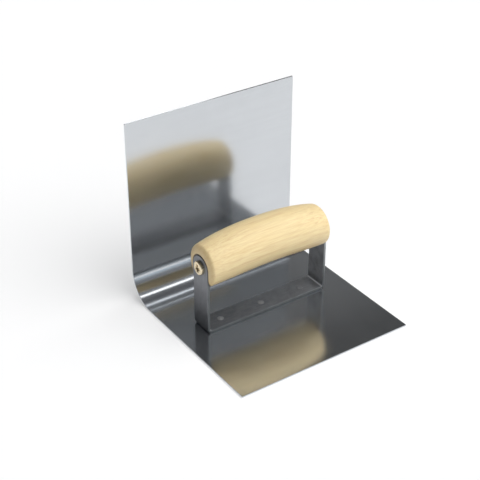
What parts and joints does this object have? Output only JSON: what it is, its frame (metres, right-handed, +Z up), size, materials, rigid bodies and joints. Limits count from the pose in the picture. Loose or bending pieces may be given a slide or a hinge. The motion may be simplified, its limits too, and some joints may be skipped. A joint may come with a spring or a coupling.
{
  "type": "inside corner trowel",
  "caption": "Inside corner trowel: square stainless blade bent to a right angle with a rounded cove, and an arched wooden grip held in a riveted U-shaped steel bracket.",
  "frame": {"origin": "centre of the square footprint, on the working face of the flat leaf, which is the floor the tool stands on", "axes": "+X along the bend and the grip, +Y from the free edge of the flat leaf towards the upright leaf, +Z up"},
  "size_m": [0.1524, 0.1524, 0.1524],
  "materials": {
    "stainless_sheet": "bright satin stainless steel, lightly brushed, that reflects the grip as a soft blur",
    "bracket_steel": "dark bluish-grey mill steel, fine lengthwise grain",
    "pale_wood": "pale straight-grained hardwood under a thin clear lacquer",
    "yellow_zinc": "pale yellow zinc plating, semi-bright",
    "rivet_steel": "plain steel, dull"
  },
  "bodies": {
    "root": {"blade": "stainless_sheet", "handle_bracket": "bracket_steel", "handle_grip": "pale_wood", "handle_screw_left": "yellow_zinc", "handle_screw_right": "yellow_zinc", "rivet_1": "rivet_steel", "rivet_2": "rivet_steel", "rivet_3": "rivet_steel"}
  },
  "joints": []
}
